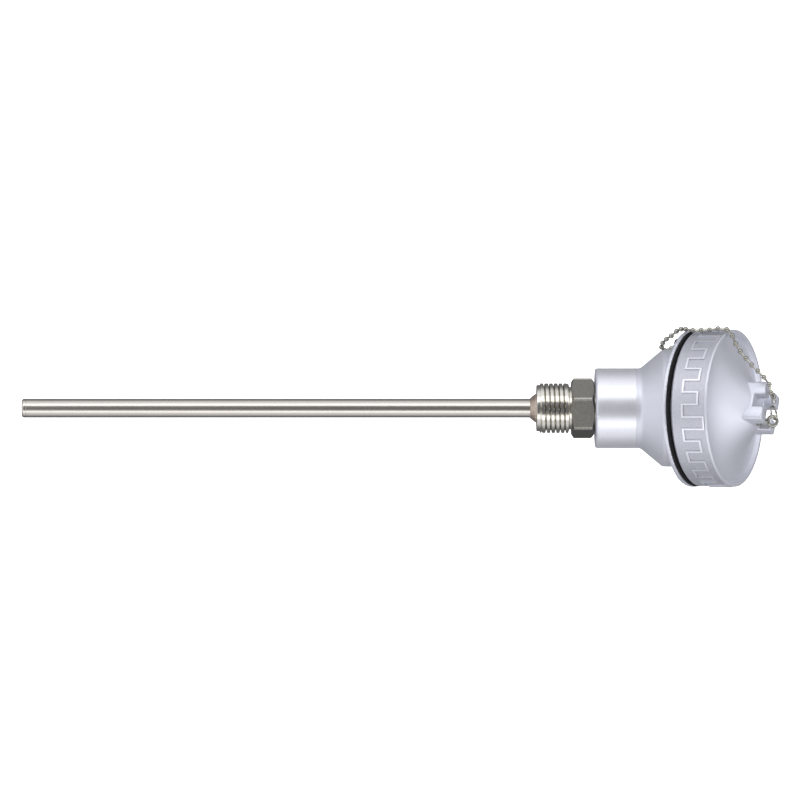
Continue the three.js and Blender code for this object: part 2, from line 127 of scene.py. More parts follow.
class HeadSizes(bpy.types.PropertyGroup):
    """Sizes of the cast head, its cap and the cable entry."""

    neck_start: size("Neck start", 7.6, "Where the neck's end face is")
    neck_end: size("Neck end", 21.9, "Where the neck widens into the bowl")
    neck_radius: size("Neck radius", 12.7, "Radius of the turned neck")
    bowl_radius: size("Bowl radius", 18.6, "Largest radius of the bowl")
    chamber_radius: size("Chamber radius", 16, "Inside radius of the terminal chamber")
    chamber_floor: size("Chamber floor", 28, "Where the terminal chamber's floor is")
    flange_radius: size("Flange radius", 25, "Radius of the flange under the cap")
    flange_thickness: size("Flange thickness", 1.5, "Thickness of the flange's edge")
    collar_radius: size("Collar radius", 22.1, "Radius over the collar's thread")
    collar_bore: size("Collar bore", 20.2, "Inside radius of the collar")
    collar_height: size("Collar height", 7.2, "Height of the collar over the flange")
    collar_pitch: size("Collar pitch", 1.5, "Distance between two turns of the collar's thread")
    cap_radius: size("Cap radius", 24.72, "Radius of the cap's wall without its key pattern")
    cap_back: size("Cap back", 1.3, "Height of the cap's lower edge over the flange")
    cap_front: size("Cap front", 13.6, "Height of the cap's front rim over the flange")
    cap_bore: size("Cap bore", 22.6, "Inside radius of the cap")
    dish: size("Dish height", 12.5, "Height of the flat dish inside the rim")
    dome: size("Dome height", 21.2, "Height of the dome where it meets the boss")
    boss_top: size("Boss top", 25.5, "Height of the boss's four posts")
    boss_half: size("Boss half width", 6.5, "Half the width of the square boss")
    boss_slot: size("Boss slot", 4.4, "Width of the crossed slots in the boss")
    boss_floor: size("Slot floor", 21.8, "Height of the floor of the crossed slots")
    boss_turn: FloatProperty(
        name="Boss turn", description="Turn of the boss about the cap's axis",
        default=math.radians(65), subtype="ANGLE", unit="ROTATION",
    )
    key_height: size("Key height", 0.4, "How far the key pattern stands out of the cap's wall")
    key_steps: IntProperty(
        name="Key steps", description="Upright lines of the key pattern round the cap", default=40, min=8
    )
    entry_radius: size("Entry radius", 9.6, "Outside radius of the cable entry")
    entry_end: size("Entry end", 33, "Distance of the entry's end face from the probe's axis")
    entry_bore: size("Entry bore", 8, "Inside radius of the entry's thread")
    entry_step: size("Entry step", 22.5, "Where the entry's wide bore ends")
    cable_bore: size("Cable bore", 5.6, "Radius of the hole into the terminal chamber")
    gland_flats: size("Gland hexagon", 20, "Across the flats of the gland nut")
    gland_hex: size("Gland hexagon length", 6, "Height of the gland nut's hexagon")
    gland_hole: size("Gland hole", 4.5, "Radius of the hole through the gland nut")


class ChainSizes(bpy.types.PropertyGroup):
    """Sizes of the ball chain and its fastenings."""

    bead: size("Bead diameter", 1.65, "Diameter of one bead")
    pitch: size("Bead pitch", 2.8, "Distance between two beads")
    rod: size("Rod diameter", 0.7, "Diameter of the rod between two beads")
    ring_radius: size("Ring radius", 2.2, "Radius of the split ring at its wire")
    ring_wire: size("Ring wire", 0.5, "Diameter of the split ring's wire")
    eye_radius: size("Eye radius", 1.55, "Radius of the eye screw's eye at its wire")
    eye_wire: size("Eye wire", 1.1, "Diameter of the eye screw's wire")


class FinishColours(bpy.types.PropertyGroup):
    """Colours of the finishes."""

    cast: colour("Cast aluminium", (0.70, 0.715, 0.78), "Blasted casting")
    turned: colour("Turned aluminium", (0.86, 0.87, 0.92), "Bright turned band")
    steel: colour("Stainless steel", (0.62, 0.59, 0.54), "Drawn tube")
    fitting: colour("Fitting steel", (0.68, 0.66, 0.60), "Turned and milled fitting")
    weld: colour("Weld", (0.60, 0.50, 0.43), "Heat-tinted weld bead")
    nickel: colour("Nickel", (0.38, 0.37, 0.325), "Chain and its fastenings")
    brass: colour("Brass", (0.78, 0.60, 0.27), "Terminals")
    ceramic: colour("Ceramic", (0.88, 0.86, 0.80), "Terminal block and insulators")
    rubber: colour("Rubber", (0.009, 0.009, 0.01), "Gasket and cable bush")
    floor: colour("Floor", (0.93, 0.93, 0.93), "Studio floor")


# Modelling, as by hand

def clear_selection():
    """Leaves object mode with nothing selected."""
    if bpy.context.object and bpy.context.object.mode != "OBJECT":
        bpy.ops.object.mode_set(mode="OBJECT")
    bpy.ops.object.select_all(action="DESELECT")


def activate(piece):
    """Makes a piece the only selected and active object."""
    clear_selection()
    bpy.context.view_layer.objects.active = piece
    piece.select_set(True)


def start(primitive, name, **settings):
    """Adds a primitive mesh and names it."""
    clear_selection()
    getattr(bpy.ops.mesh, f"primitive_{primitive}_add")(**settings)
    piece = bpy.context.object
    piece.name = name
    piece.data.name = name
    return piece


def edit(piece, kind="VERT"):
    """Opens a piece in edit mode with everything selected."""
    activate(piece)
    bpy.ops.object.mode_set(mode="EDIT")
    bpy.ops.mesh.select_mode(type=kind)
    bpy.ops.mesh.select_all(action="SELECT")


def finish_edit():
    """Leaves edit mode."""
    bpy.ops.object.mode_set(mode="OBJECT")


def pick(piece, test, kind="FACE"):
    """Selects the faces, edges or vertices that pass a test and opens edit mode on them."""
    edit(piece, kind)
    bpy.ops.mesh.select_all(action="DESELECT")
    finish_edit()
    mesh = piece.data
    if kind == "FACE":
        for face in mesh.polygons:
            face.select = test(face.center, face.normal)
    elif kind == "VERT":
        for vertex in mesh.vertices:
            vertex.select = test(vertex.co, vertex.normal)
    else:
        for edge in mesh.edges:
            edge.select = test(*(mesh.vertices[index].co for index in edge.vertices))
    bpy.ops.object.mode_set(mode="EDIT")


def settle(piece, matrix=Matrix.Identity(4)):
    """Puts a piece's place into its mesh and leaves its object at the origin."""
    activate(piece)
    piece.matrix_world = matrix @ piece.matrix_world
    bpy.ops.object.transform_apply(location=True, rotation=True, scale=True)
    return piece


def apply_modifier(piece, kind, **settings):
    """Adds a modifier with its settings and applies it."""
    activate(piece)
    modifier = piece.modifiers.new(kind.title(), kind)
    for name, value in settings.items():
        setattr(modifier, name, value)
    bpy.ops.object.modifier_apply(modifier=modifier.name)
    return piece


def combine(piece, tool, operation, solver="MANIFOLD"):
    """Joins, cuts or trims a piece with a tool, which is used up."""
    apply_modifier(piece, "BOOLEAN", object=tool, operation=operation, solver=solver)
    bpy.data.objects.remove(tool)
    return piece


def soften(piece, width, segments=2, angle=35):
    """Rounds a piece's sharp edges."""
    return apply_modifier(
        piece, "BEVEL", width=width, segments=segments, limit_method="ANGLE",
        angle_limit=math.radians(angle), use_clamp_overlap=True,
    )


def shade(piece, angle=32):
    """Shades a piece smooth, with creases at its sharp edges."""
    activate(piece)
    bpy.ops.object.shade_smooth_by_angle(angle=math.radians(angle))
    return piece


def rounded(points, segments=5):
    """An outline of (radius, height) points whose optional third number rounds that corner."""
    outline = []
    for index, point in enumerate(points):
        here = Vector(point[:2])
        if len(point) < 3:
            outline.append(here)
            continue
        before = Vector(points[index - 1][:2]) - here
        after = Vector(points[(index + 1) % len(points)][:2]) - here
        half = before.angle(after) / 2
        reach = min(point[2] / math.tan(half), before.length * 0.49, after.length * 0.49)
        radius = reach * math.tan(half)
        centre = here + (before.normalized() + after.normalized()).normalized() * radius / math.sin(half)
        first = here + before.normalized() * reach - centre
        last = here + after.normalized() * reach - centre
        sweep = first.angle_signed(last)
        for step in range(segments + 1):
            arm = first.copy()
            arm.rotate(Matrix.Rotation(-sweep * step / segments, 2))
            outline.append(centre + arm)
    return outline


def turned(name, points, matrix=ON_PROBE, steps=96, closed=False, segments=5):
    """Spins an outline of (radius, height) points, in metres, about Z. A closed outline makes a ring."""
    outline = rounded(points, segments)
    piece = start("plane", name, size=MM)
    edit(piece)
    bpy.ops.mesh.merge(type="CENTER")
    position = Vector((0, 0, 0))
    for index, (radius, height) in enumerate(outline):
        target = Vector((radius, 0, height))
        move = {"value": target - position}
        if index == 0:
            bpy.ops.transform.translate(**move)
        else:
            bpy.ops.mesh.extrude_region_move(TRANSFORM_OT_translate=move)
        position = target
    bpy.ops.mesh.select_all(action="SELECT")
    if closed:
        finish_edit()
        mesh = piece.data
        count = len(mesh.vertices)
        mesh.edges.add(1)
        mesh.edges[-1].vertices = (count - 1, 0)
        edit(piece)
    bpy.ops.mesh.spin(steps=steps, angle=2 * PI, center=(0, 0, 0), axis=(0, 0, 1))
    bpy.ops.mesh.select_all(action="SELECT")
    bpy.ops.mesh.remove_doubles(threshold=2e-6)
    bpy.ops.mesh.normals_make_consistent(inside=False)
    finish_edit()
    return settle(piece, matrix)


def bar(name, low, high, matrix=Matrix.Identity(4)):
    """A box between two corners."""
    low, high = Vector(low), Vector(high)
    piece = start("cube", name, size=1, location=(low + high) / 2, scale=high - low)
    return settle(piece, matrix)


def rod(name, radius, low, high, matrix, steps=48):
    """A plain round tool along Z."""
    return turned(name, [(0, low), (radius, low), (radius, high), (0, high)], matrix, steps)


def hexagon(name, flats, low, high, turn, matrix):
    """A hexagon with its corners turned down at both ends and its edges broken."""
    piece = start(
        "cylinder", name, vertices=6, radius=flats / 2 / math.cos(PI / 6), depth=high - low,
        location=(0, 0, (low + high) / 2), rotation=(0, 0, turn),
    )
    settle(piece, matrix)
    corner, face, slope = flats / 2 / math.cos(PI / 6) + 0.1 * MM, flats / 2 - 0.25 * MM, 1.0 * MM
    trim = turned(name + "_trim", [
        (0, low), (face, low), (corner, low + slope), (corner, high - slope), (face, high), (0, high),
    ], matrix, 128)
    combine(piece, trim, "INTERSECT")
    return piece


def cut_thread(piece, matrix, crest, pitch, depth, low, high):
    """Sinks a helical thread into the fine rows of a turned piece."""
    back = matrix.inverted()
    for vertex in piece.data.vertices:
        spot = back @ vertex.co
        radius = math.hypot(spot.x, spot.y)
        if radius < crest - 0.05 * MM or not low <= spot.z <= high:
            continue
        phase = (spot.z / pitch - math.atan2(spot.y, spot.x) / (2 * PI)) % 1
        flank = min(1, max(0, (abs(phase - 0.5) - 0.03) / 0.14))
        ends = min(1, (spot.z - low) / (0.7 * pitch), (high - spot.z) / (0.7 * pitch))
        sunk = radius - depth * (1 - flank) * ends
        spot.x *= sunk / radius
        spot.y *= sunk / radius
        vertex.co = matrix @ spot
    piece.data.update()


def rows(radius, low, high, step):
    """Outline points along a straight side, a fine step apart."""
    count = round((high - low) / step)
    return [(radius, low + (high - low) * index / count) for index in range(count + 1)]


# Finishes

class Number:
    """A shader number that Python's operators work on."""

    def __init__(self, shader, socket):
        self.shader = shader
        self.socket = socket

    def _maths(self, operation, first, second=0.0):
        node = self.shader.node("ShaderNodeMath", {"operation": operation}, {0: first, 1: second})
        return Number(self.shader, node.outputs[0])

    def __add__(self, other):
        return self._maths("ADD", self, other)

    __radd__ = __add__

    def __sub__(self, other):
        return self._maths("SUBTRACT", self, other)

    def __rsub__(self, other):
        return self._maths("SUBTRACT", other, self)

    def __mul__(self, other):
        return self._maths("MULTIPLY", self, other)

    __rmul__ = __mul__

    def above(self, level):
        """1 where the number is greater than level."""
        return self._maths("GREATER_THAN", self, level)

    def size(self):
        """The number without its sign."""
        return self._maths("ABSOLUTE", self)

class Shader:
    """One material and the nodes it is made of."""

    def __init__(self, name, **constants):
        self.material = bpy.data.materials.new(name)
        self.material.use_nodes = True
        self.tree = self.material.node_tree
        self.surface = self.tree.nodes["Principled BSDF"]
        for socket, value in constants.items():
            self.surface.inputs[socket.replace("_", " ").title().replace("Ior", "IOR")].default_value = value

    def node(self, kind, settings=None, sockets=None):
        """Adds a node, sets it up and fills or links its sockets."""
        node = self.tree.nodes.new(kind)
        for name, value in (settings or {}).items():
            setattr(node, name, value)
        for name, value in (sockets or {}).items():
            if isinstance(value, Number):
                value = value.socket
            if isinstance(value, bpy.types.NodeSocket):
                self.tree.links.new(value, node.inputs[name])
            else:
                node.inputs[name].default_value = value
        return node

    def position(self, stretch=(1, 1, 1)):
        """Object coordinates, stretched."""
        source = self.node("ShaderNodeTexCoord").outputs["Object"]
        return self.node("ShaderNodeMapping", None, {"Vector": source, "Scale": stretch}).outputs[0]

    def noise(self, scale, detail=3.0, stretch=(1, 1, 1)):
        """A noise number between 0 and 1."""
        node = self.node("ShaderNodeTexNoise", None, {
            "Vector": self.position(stretch), "Scale": scale, "Detail": detail, "Roughness": 0.55,
        })
        return Number(self, node.outputs["Fac"])

    def axis(self, letter):
        """One coordinate, in metres."""
        node = self.node("ShaderNodeSeparateXYZ", None, {0: self.position()})
        return Number(self, node.outputs[letter])

    def beyond(self, origin, forward, radius):
        """Whether a point is farther than a radius from a line, as 1 or 0, and its height along it."""
        arms = [self.axis(letter) - start for letter, start in zip("XYZ", origin)]
        height = sum(arm * part for arm, part in zip(arms, forward))
        square = sum(arm * arm for arm in arms) - height * height
        return (square * 1e6).above((radius / MM) ** 2), height

    def steps(self, value, stops):
        """A ramp through (position, grey) stops."""
        node = self.node("ShaderNodeValToRGB", None, {"Fac": value})
        ramp = node.color_ramp
        while len(ramp.elements) < len(stops):
            ramp.elements.new(0.5)
        for element, (spot, grey) in zip(ramp.elements, stops):
            element.position = spot
            element.color = (grey, grey, grey, 1)
        return Number(self, node.outputs["Color"])

    def mix(self, factor, first, second):
        """Mixes two colours."""
        settings = {"data_type": "RGBA"}
        as_colour = [(*item, 1) if isinstance(item, tuple) and len(item) == 3 else item for item in (first, second)]
        node = self.node("ShaderNodeMix", settings, {0: factor, 6: as_colour[0], 7: as_colour[1]})
        return node.outputs[2]

    def set(self, socket, value):
        """Feeds one of the surface's sockets."""
        if isinstance(value, Number):
            value = value.socket
        self.tree.links.new(value, self.surface.inputs[socket])

    def bump(self, height, distance, strength=1.0):
        """Feeds the normal with a height in units of distance."""
        node = self.node("ShaderNodeBump", None, {"Height": height, "Distance": distance, "Strength": strength})
        self.set("Normal", node.outputs[0])


class Tent(Shader):
    """The light that comes from all round, by its direction."""

    def __init__(self, world):
        self.material = world
        self.tree = world.node_tree
        self.surface = self.tree.nodes["Background"]

    def axis(self, letter):
        """One part of the direction the light comes from."""
        source = self.node("ShaderNodeTexCoord").outputs["Generated"]
        return Number(self, self.node("ShaderNodeSeparateXYZ", None, {0: source}).outputs[letter])

    def shine(self, level):
        """Lights the tent by a level, slightly cool."""
        grey = self.node("ShaderNodeCombineColor", None, {0: level * 0.985, 1: level * 0.99, 2: level * 1.03})
        self.set("Color", grey.outputs[0])


def shades(value, low, high):
    """A darker and a lighter version of a colour."""
    base = tuple(value)
    return tuple(part * low for part in base), tuple(min(1, part * high) for part in base)


def cast_aluminium(colours):
    """Blasted casting with a fine grain and faint clouds."""
    shader = Shader("cast_aluminium", metallic=0.74)
    grain = shader.noise(5200, 4)
    cloud = shader.noise(160, 3)
    dark, light = shades(colours.cast, 0.93, 1.06)
    shader.set("Base Color", shader.mix(cloud * 0.6 + grain * 0.4, dark, light))
    shader.set("Roughness", 0.36 + grain * 0.16 + cloud * 0.06)
    shader.bump(grain + cloud * 0.5, 0.05 * MM, 0.7)
    return shader.material


def cap_aluminium(colours, sizes):
    """The cap's casting: a side wall with coarse grain, darkened with painted shade, and a key pattern painted bright
    as a painted highlight.
    """
    shader = Shader("cap_aluminium", metallic=0.74)
    wall, height = shader.beyond(CAP_CENTRE, CAP_AXIS, sizes.cap_radius - 0.2 * MM)
    wall = wall * (1 - height.above(sizes.cap_front - 0.6 * MM))
    key = shader.beyond(CAP_CENTRE, CAP_AXIS, sizes.cap_radius + 0.16 * MM)[0] * wall
    grain = shader.noise(5200, 4)
    coarse = shader.noise(2400, 4)
    cloud = shader.noise(160, 3)
    dark, light = shades(colours.cast, 0.95, 1.06)
    # the side wall is painted darker than the casting: painted shade, with the coarse noise as its grain
    wall_painted_shade_dark, wall_light = shades(colours.cast, 0.56, 1.0)
    smooth = shader.mix(cloud * 0.6 + grain * 0.4, dark, light)
    grain_and_painted_shade = shader.mix(coarse, wall_painted_shade_dark, wall_light)
    # the raised key pattern takes a brighter colour: a painted highlight on its lines
    shader.set("Base Color", shader.mix(key, shader.mix(wall, smooth, grain_and_painted_shade), (0.8, 0.81, 0.86)))
    shader.set("Roughness", 0.4 + grain * 0.14 - key * 0.16)
    shader.bump(grain + cloud * 0.5 + wall * coarse * 0.8, 0.05 * MM, 0.7)
    return shader.material


def head_aluminium(colours, sizes):
    """The head's casting, with a bright turned band round its neck."""
    shader = Shader("head_aluminium", metallic=0.74)
    along = shader.axis("X")
    band_start, band_end = sizes.neck_start + 0.6 * MM, sizes.neck_end - 1.7 * MM
    band = 1 - (along - (band_start + band_end) / 2).size().above((band_end - band_start) / 2)
    grain = shader.noise(5200, 4)
    cloud = shader.noise(160, 3)
    lines = shader.noise(700, 2, (6, 0.5, 0.5))
    dark, light = shades(colours.cast, 0.93, 1.06)
    turned_dark, turned_light = shades(colours.turned, 0.9, 1.05)
    cast = shader.mix(cloud * 0.6 + grain * 0.4, dark, light)
    bright = shader.mix(lines, turned_dark, turned_light)
    shader.set("Base Color", shader.mix(band, cast, bright))
    shader.set("Roughness", (1 - band) * (0.36 + grain * 0.16 + cloud * 0.06) + band * (0.32 + lines * 0.1))
    shader.bump((1 - band) * (grain + cloud * 0.5) + band * lines * 0.04, 0.05 * MM, 0.7)
    return shader.material


def drawn_steel(colours):
    """Stainless tube, polished round its axis."""
    shader = Shader("drawn_steel", metallic=1.0)
    streaks = shader.noise(900, 2, (0.02, 1, 1))
    smear = shader.noise(90, 2, (0.25, 1, 1))
    dark, light = shades(colours.steel, 0.95, 1.05)
    shader.set("Base Color", shader.mix(streaks * 0.5 + smear * 0.5, dark, light))
    shader.set("Roughness", 0.23 + smear * 0.07)
    shader.bump(streaks, 0.0006 * MM, 0.3)
    return shader.material


def fitting_steel(colours, sizes):
    """Turned threads and spigot, with milled and slightly mottled flats whose dark colour is a painted dark
    reflection, so that their corners stand out bright.
    """
    shader = Shader("fitting_steel", metallic=1.0)
    along = shader.axis("X")
    hexagon_band = along.above(0.1 * MM) * (1 - along.above(sizes.hex_length + 0.1 * MM))
    rings = shader.noise(1300, 2, (4, 0.2, 0.2))
    mottle = shader.noise(2200, 5)
    corners = shader.beyond((0, 0, 0), (1, 0, 0), sizes.hex_flats / 2 + MM)[0]
    flats = hexagon_band * (1 - corners)
    dark, light = shades(colours.fitting, 0.8, 1.22)
    # the flats are painted dark: a painted dark reflection, with the corners left in the bright turned colour
    flat_painted_reflection_dark, flat_painted_reflection_light = shades(colours.fitting, 0.2, 0.56)
    bright = shader.mix(rings, dark, light)
    shader.set("Base Color", shader.mix(flats, bright, shader.mix(mottle, flat_painted_reflection_dark, flat_painted_reflection_light)))
    shader.set("Roughness", 0.16 + rings * 0.06 + flats * (0.08 + mottle * 0.12))
    shader.bump(rings * (1 - hexagon_band) * 0.3 + mottle * flats, 0.02 * MM, 0.6)
    return shader.material


def plain_finish(name, tone, noise, spread, roughness, relief, relief_noise=None, **constants):
    """A finish with one noise in its tone and roughness, and a fine relief."""
    shader = Shader(name, **constants)
    grain = shader.noise(*noise)
    shader.set("Base Color", shader.mix(grain, *shades(tone, *spread)))
    shader.set("Roughness", roughness[0] + grain * roughness[1])
    height = shader.noise(*relief_noise) if relief_noise else grain
    shader.bump(height, relief[0] * MM, relief[1])
    return shader.material


FINISHES = {}


def prepare_finishes(context):
    """Makes every material once."""
    colours = context.scene.thermometer_colours
    probe, head = context.scene.thermometer_probe, context.scene.thermometer_head
    FINISHES.update({
        "cast": cast_aluminium(colours),
        "cap": cap_aluminium(colours, head),
        "head": head_aluminium(colours, head),
        "steel": drawn_steel(colours),
        "fitting": fitting_steel(colours, probe),
        "weld": plain_finish(
            "weld_metal", colours.weld, (900, 4), (0.75, 1.25), (0.3, 0.2), (0.04, 0.6), metallic=1.0,
        ),
        "nickel": plain_finish(
            "nickel_plate", colours.nickel, (1800, 3), (0.85, 1.12), (0.08, 0.12), (0.006, 0.5), metallic=1.0,
        ),
        "brass": plain_finish(
            "brass_metal", colours.brass, (700, 4), (0.72, 1.1), (0.22, 0.2), (0.01, 0.5), (4000, 2),
            metallic=1.0,
        ),
        "ceramic": plain_finish(
            "white_ceramic", colours.ceramic, (2600, 5), (0.9, 1.03), (0.3, 0.2), (0.02, 0.4),
            metallic=0.0, coat_weight=0.3, coat_roughness=0.15,
        ),
        "rubber": plain_finish(
            "black_rubber", colours.rubber, (1200, 4), (0.8, 1.9), (0.6, 0.25), (0.02, 0.5), (6000, 3),
            metallic=0.0, specular_ior_level=0.12,
        ),
    })


def dress(piece, finish, body, node, angle=32):
    """Gives a finished piece its material and its body, and hides the CAD node it stands for."""
    shade(piece, angle)
    piece.data.materials.clear()
    piece.data.materials.append(FINISHES[finish])
    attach(piece, body)
    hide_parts(node)
    return piece


# Operators: one for each piece or group of like pieces

class THERMO_OT_stage(bpy.types.Operator):
    """Sets up the camera, the floor and the studio light"""

    bl_idname = "thermo.stage"
    bl_label = "Stage"

    def execute(self, context):
        data = bpy.data.cameras.new("camera")
        data.sensor_width = 36
        data.lens = CAMERA_LENS
        data.clip_end = 20
        camera = bpy.data.objects.new("camera", data)
        context.collection.objects.link(camera)
        camera.location = CAMERA_PLACE
        context.scene.camera = camera
        self.lights(context)
        self.floor(context)
        return {"FINISHED"}

    def light(self, context, name, location, target, size_xy, power):
        """Adds one soft rectangular light that looks at a target."""
        data = bpy.data.lights.new(name, "AREA")
        data.shape = "RECTANGLE"
        data.size, data.size_y = size_xy
        data.energy = power
        lamp = bpy.data.objects.new(name, data)
        context.collection.objects.link(lamp)
        lamp.location = location
        lamp.rotation_euler = (Vector(target) - Vector(location)).to_track_quat("-Z", "Y").to_euler()

    def lights(self, context):
        """Two long lights beside the part, a fill at the head and the bright tent round it."""
        middle = (-0.04, 0, 0)
        self.light(context, "upper_light", (-0.1, 0.7, 0.75), middle, (1.6, 0.45), 3)
        self.light(context, "lower_light", (-0.1, -0.7, 0.75), middle, (1.6, 0.45), 2.2)
        self.light(context, "head_fill", (0.9, -0.25, 0.45), (0.05, 0, 0), (0.6, 0.6), 1)
        world = bpy.data.worlds.new("studio")
        world.use_nodes = True
        tent = Tent(world)
        level = tent.steps(tent.axis("Z") * 0.5 + 0.5, (
            (0.0, 0.16), (0.24, 0.2), (0.36, 0.36), (0.44, 0.62), (0.52, 0.88), (0.62, 1.0),
            (0.86, 0.98), (0.9, 0.8), (0.94, 0.24), (1.0, 0.16),
        ))
        tent.shine(level * (1 + tent.axis("Y") * 0.1))
        context.scene.world = world
        context.scene.view_settings.view_transform = "Standard"

    def floor(self, context):
        """A wide pale floor well below the part."""
        shader = Shader("floor", metallic=0.0, roughness=0.9, specular_ior_level=0.1)
        tone = tuple(context.scene.thermometer_colours.floor)
        cloud = shader.noise(6, 2)
        shader.set("Base Color", shader.mix(cloud, tone, tuple(min(1, part * 1.01) for part in tone)))
        shader.surface.inputs["Emission Color"].default_value = (1, 1, 1, 1)
        shader.surface.inputs["Emission Strength"].default_value = 0.75
        clear_selection()
        bpy.ops.mesh.primitive_circle_add(vertices=96, radius=1.6, fill_type="NGON", location=(0, 0, -0.24))
        floor = bpy.context.object
        floor.name = "floor"
        floor.data.materials.append(shader.material)
        settle(floor)
        floor.visible_glossy = False


class THERMO_OT_chain(bpy.types.Operator):
    """Strings the ball chain from the cap's clasp to the screw on the head"""

    bl_idname = "thermo.chain"
    bl_label = "Ball Chain"

    on_cap = (
        (-4.9, 26.9, 3.2), (-7, 26.8, 3.9), (-9.1, 25.8, 4.9), (-11.1, 23.8, 5), (-15, 19.9, 5.4),
        (-19.3, 16.5, 5.8), (-21.9, 15.4, 6.3), (-24.4, 14.5, 7.2), (-25.1, 12, 8.1),
        (-24.7, 8, 8.4), (-24.6, 5.2, 8.4), (-24.6, 2.5, 8.4), (-25, -0.4, 7.7),
    )
    below_flange = (
        (34, 24.8, 3), (32, 23.1, 0.5), (29.9, 21.5, -2.8), (29, 19.9, -5.8), (29.7, 18.6, -8.6),
        (31.4, 18.7, -10.2), (33.4, 19.6, -9.6), (34.5, 20.6, -7.8), (34.6, 21.1, -5.9),
    )

    def route(self):
        """The chain's points, from the cap down to the head."""
        points = [ON_CAP @ (Vector((z, x, y)) * MM) for x, y, z in self.on_cap]
        return points + [Vector(spot) * MM for spot in self.below_flange]

    def smooth(self, points):
        """A centripetal curve through the points, finely stepped."""
        ends = [2 * points[0] - points[1]] + points + [2 * points[-1] - points[-2]]
        line = []
        for index in range(1, len(ends) - 2):
            p0, p1, p2, p3 = ends[index - 1:index + 3]
            d1, d2, d3 = ((b - a).length ** 0.5 for a, b in ((p0, p1), (p1, p2), (p2, p3)))
            m1 = (p2 - p1) + d2 * ((p1 - p0) / d1 - (p2 - p0) / (d1 + d2))
            m2 = (p2 - p1) + d2 * ((p3 - p2) / d3 - (p3 - p1) / (d2 + d3))
            for step in range(12):
                t = step / 12
                line.append(
                    p1 * (2 * t**3 - 3 * t**2 + 1) + m1 * (t**3 - 2 * t**2 + t)
                    + p2 * (3 * t**2 - 2 * t**3) + m2 * (t**3 - t**2)
                )
        return line + [points[-1]]

    def along(self, line, pitch):
        """Places on the line, one pitch apart, and the line's length."""
        lengths = [0.0]
        for a, b in zip(line, line[1:]):
            lengths.append(lengths[-1] + (b - a).length)
        total = lengths[-1]
        count = round(total / pitch)
        spots = []
        for index in range(count + 1):
            want = total * index / count
            part = min(next(i for i, length in enumerate(lengths) if length >= want - 1e-9), len(line) - 1)
            part = max(part, 1)
            share = (want - lengths[part - 1]) / (lengths[part] - lengths[part - 1])
            spots.append(line[part - 1].lerp(line[part], share))
        return spots, total

    def execute(self, context):
        sizes = context.scene.thermometer_chain
        points = self.route()
        spots, length = self.along(self.smooth(points), sizes.pitch)
        bead = start("uv_sphere", "bead", segments=18, ring_count=11, radius=sizes.bead / 2)
        pick(bead, lambda centre, normal: abs(normal.z) > 0.95)
        bpy.ops.mesh.inset(thickness=0.05 * MM, depth=-0.04 * MM)
        finish_edit()
        pieces = []
        for index, spot in enumerate(spots):
            ahead = spots[min(index + 1, len(spots) - 1)] - spots[max(index - 1, 0)]
            turn = ahead.to_track_quat("Z", "Y").to_matrix().to_4x4()
            copy = bead.copy()
            copy.data = bead.data.copy()
            context.collection.objects.link(copy)
            pieces.append(settle(copy, Matrix.Translation(spot) @ turn))
        for first, second in zip(spots, spots[1:]):
            turn = (second - first).to_track_quat("Z", "Y").to_matrix().to_4x4()
            gap = (second - first).length - sizes.bead * 0.86
            link = start("cylinder", "link", vertices=10, radius=sizes.rod / 2, depth=gap)
            pick(link, lambda centre, normal: abs(normal.z) > 0.9)
            bpy.ops.mesh.inset(thickness=sizes.rod * 0.12)
            finish_edit()
            pieces.append(settle(link, Matrix.Translation((first + second) / 2) @ turn))
        bpy.data.objects.remove(bead)
        clear_selection()
        for piece in pieces:
            piece.select_set(True)
        chain = pieces[0]
        context.view_layer.objects.active = chain
        bpy.ops.object.join()
        chain.name = "ball_chain_beads"
        shade(chain)
        chain.data.materials.clear()
        chain.data.materials.append(FINISHES["nickel"])
        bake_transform(chain)
        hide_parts("ball_chain")
        [tuple(point) for point in self.smooth(points)]
        return {"FINISHED"}


class THERMO_OT_probe(bpy.types.Operator):
    """Turns the protection tube, its tip cap and the weld bead"""

    bl_idname = "thermo.probe"
    bl_label = "Probe Tube"

    def execute(self, context):
        sizes = context.scene.thermometer_probe
        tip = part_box("tip_cap")[0][0]
        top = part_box("protection_tube")[1][0]
        joint = tip + sizes.tip_cap
        tube = turned("tube", [
            (sizes.tube_bore, joint), (sizes.tube_radius, joint, 0.1 * MM),
            (sizes.tube_radius, top, 0.15 * MM), (sizes.tube_bore, top),
        ], closed=True)
        dress(tube, "steel", "root", "protection_tube")
        cap = turned("tip", [
            (0, tip), (sizes.tube_radius, tip, sizes.tip_round), (sizes.tube_radius, joint, 0.1 * MM),
            (sizes.tube_bore - 0.05 * MM, joint), (sizes.tube_bore - 0.05 * MM, joint + MM), (0, joint + MM),
        ])
        dress(cap, "steel", "root", "tip_cap")
        start_x = -sizes.thread_length
        bore = sizes.tube_radius + 0.02 * MM
        weld = turned("weld", [
            (bore, start_x - 2 * MM), (bore + 0.15 * MM, start_x - 2.02 * MM, 0.1 * MM),
            (bore + 0.75 * MM, start_x - 1.3 * MM, 0.5 * MM),
            (sizes.weld_radius - 0.3 * MM, start_x - 0.6 * MM, 0.5 * MM),
            (sizes.weld_radius, start_x - 0.05 * MM), (bore, start_x - 0.05 * MM),
        ], closed=True, steps=144)
        self.ripple(weld, bore)
        dress(weld, "weld", "root", "weld_bead", 60)
        return {"FINISHED"}

    def ripple(self, weld, bore):
        """Lays the overlapping scales of a weld run round the bead."""
        scales = 22
        for vertex in weld.data.vertices:
            radius = math.hypot(vertex.co.y, vertex.co.z)
            if radius < bore + 0.1 * MM:
                continue
            turn = math.atan2(vertex.co.z, vertex.co.y)
            slant = vertex.co.x / (6 * MM)
            scale = ((turn / (2 * PI) + slant) * scales) % 1
            grow = 1 + 0.035 * (scale**2 - 0.4)
            vertex.co.y *= grow
            vertex.co.z *= grow


